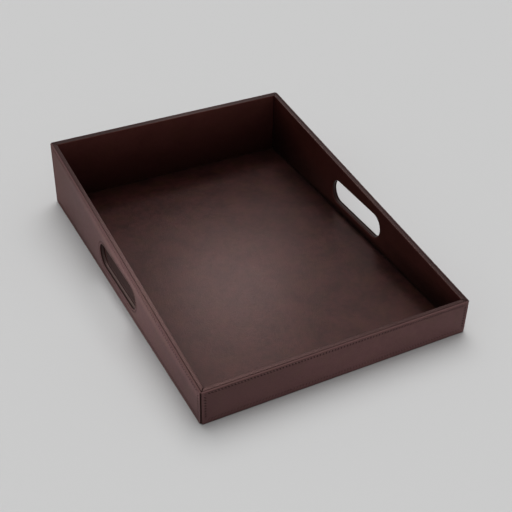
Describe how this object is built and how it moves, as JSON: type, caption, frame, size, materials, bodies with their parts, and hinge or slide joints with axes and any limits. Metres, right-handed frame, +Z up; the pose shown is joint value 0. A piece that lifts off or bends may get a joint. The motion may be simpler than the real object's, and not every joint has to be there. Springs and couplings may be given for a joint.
{
  "type": "leather tray",
  "caption": "Open leather-covered tray with a low front, walls that rise to a high back, and a rounded hand slot in each side wall.",
  "frame": {"origin": "middle of the underside, on the surface that the tray stands on", "axes": "+X to the right seen from the low front, +Y from the low front to the high back, +Z up"},
  "size_m": [0.36, 0.5, 0.097],
  "materials": {
    "outer_leather": "satin, fine pebbled grain",
    "inner_leather": "satin, fine pebbled grain",
    "floor_leather": "satin, fine pebbled grain",
    "board": "raw pressed board",
    "underside_suede": "matt nap"
  },
  "bodies": {
    "root": {"underside_cover": "underside_suede", "base_board": "board", "front_board": "board", "back_board": "board", "left_board": "board", "right_board": "board", "front_outer_panel": "outer_leather", "back_outer_panel": "outer_leather", "left_outer_panel": "outer_leather", "right_outer_panel": "outer_leather", "front_lining": "inner_leather", "back_lining": "inner_leather", "left_lining": "inner_leather", "right_lining": "inner_leather", "left_handle_liner": "inner_leather", "right_handle_liner": "inner_leather", "floor_lining": "floor_leather"}
  },
  "joints": []
}
